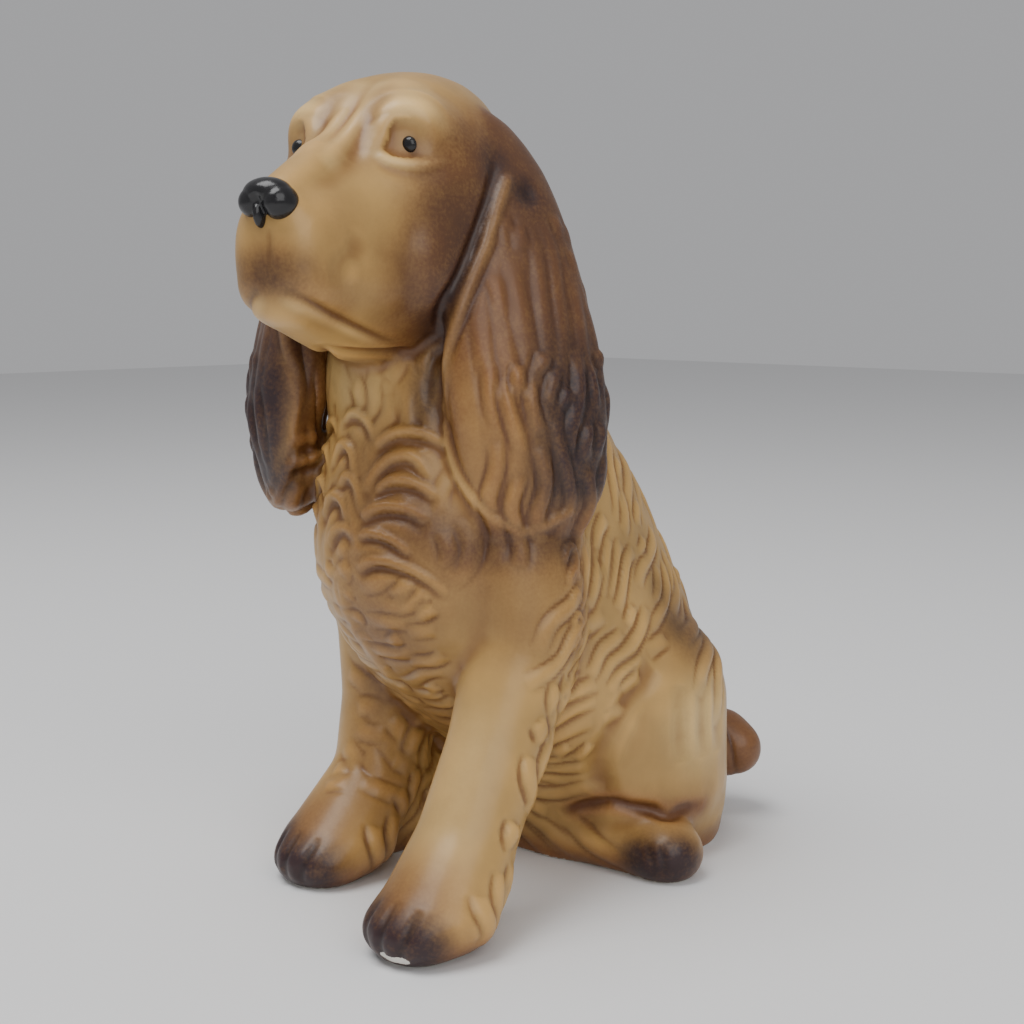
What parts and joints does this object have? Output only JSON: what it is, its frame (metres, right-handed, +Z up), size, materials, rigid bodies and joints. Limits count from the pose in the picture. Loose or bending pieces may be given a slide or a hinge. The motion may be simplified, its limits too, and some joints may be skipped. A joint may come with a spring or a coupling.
{
  "type": "ceramic dog figurine",
  "caption": "Sitting spaniel figurine in glazed earthenware, hollow castings luted together, head turned to its left, enamelled nose and eyes, flat base.",
  "frame": {"origin": "middle of the figure's box in plan, on the surface that it stands on", "axes": "+Z up, the chest faces -Y, the dog's left side is +X; the head turns 18 degrees to its left"},
  "size_m": [0.1323, 0.2065, 0.2521],
  "materials": {
    "honey_glaze": "clear gloss glaze over airbrushed honey-cream and brown",
    "brown_glaze": "clear gloss glaze over airbrushed purple-brown",
    "black_enamel": "gloss black enamel, brushed on"
  },
  "bodies": {
    "root": {"body": "honey_glaze", "head": "honey_glaze", "left_ear": "brown_glaze", "right_ear": "brown_glaze", "left_foreleg": "honey_glaze", "right_foreleg": "honey_glaze", "left_hind_foot": "honey_glaze", "right_hind_foot": "honey_glaze", "tail": "brown_glaze", "nose_enamel": "black_enamel", "left_eye_enamel": "black_enamel", "right_eye_enamel": "black_enamel"}
  },
  "joints": []
}
